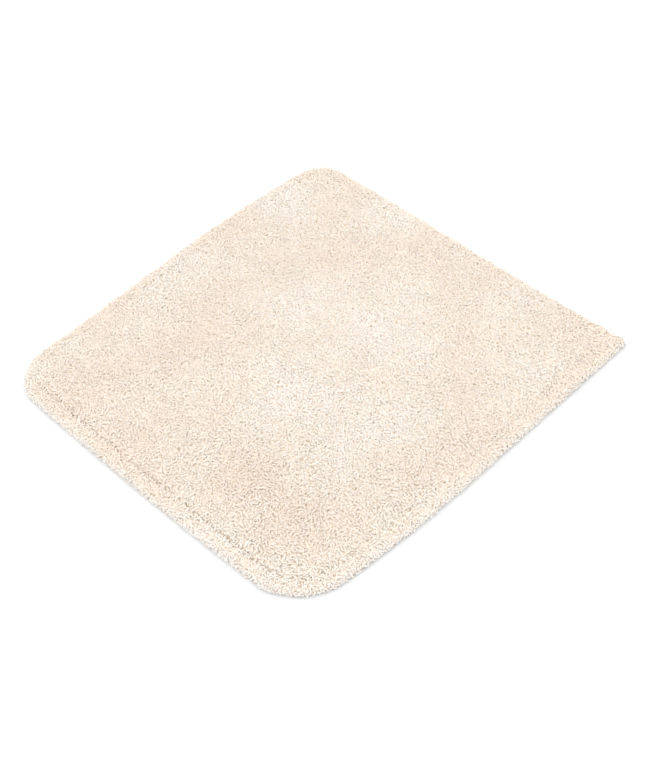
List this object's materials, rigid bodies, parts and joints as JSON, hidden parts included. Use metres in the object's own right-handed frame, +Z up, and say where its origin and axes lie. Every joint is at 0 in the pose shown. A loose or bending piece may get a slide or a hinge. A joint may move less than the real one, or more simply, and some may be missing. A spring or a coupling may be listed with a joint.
{
  "type": "bath mat",
  "caption": "Flat tufted cotton bath mat with a turned hem, three rounded corners and one square one, and a latex grip back.",
  "frame": {"origin": "on the floor, under the middle of the mat's outline", "axes": "+Z up out of the pile; +X and +Y along the mat's sides, with the square corner towards +X +Y"},
  "size_m": [0.6109, 0.598, 0.0149],
  "materials": {
    "cotton_pile": "looped cotton yarn, matt",
    "ground_cloth": "plain woven cotton, matt",
    "sewing_thread": "twisted polyester thread",
    "latex": "matt latex",
    "label_tape": "smooth woven satin tape"
  },
  "bodies": {
    "root": {"base_cloth": "ground_cloth", "latex_coat": "latex", "grip_dots": "latex", "pile_field": "cotton_pile", "pile_border": "cotton_pile", "hem_needle_thread": "sewing_thread", "hem_bobbin_thread": "sewing_thread", "corner_tack_thread": "sewing_thread", "care_label": "label_tape"}
  },
  "joints": []
}
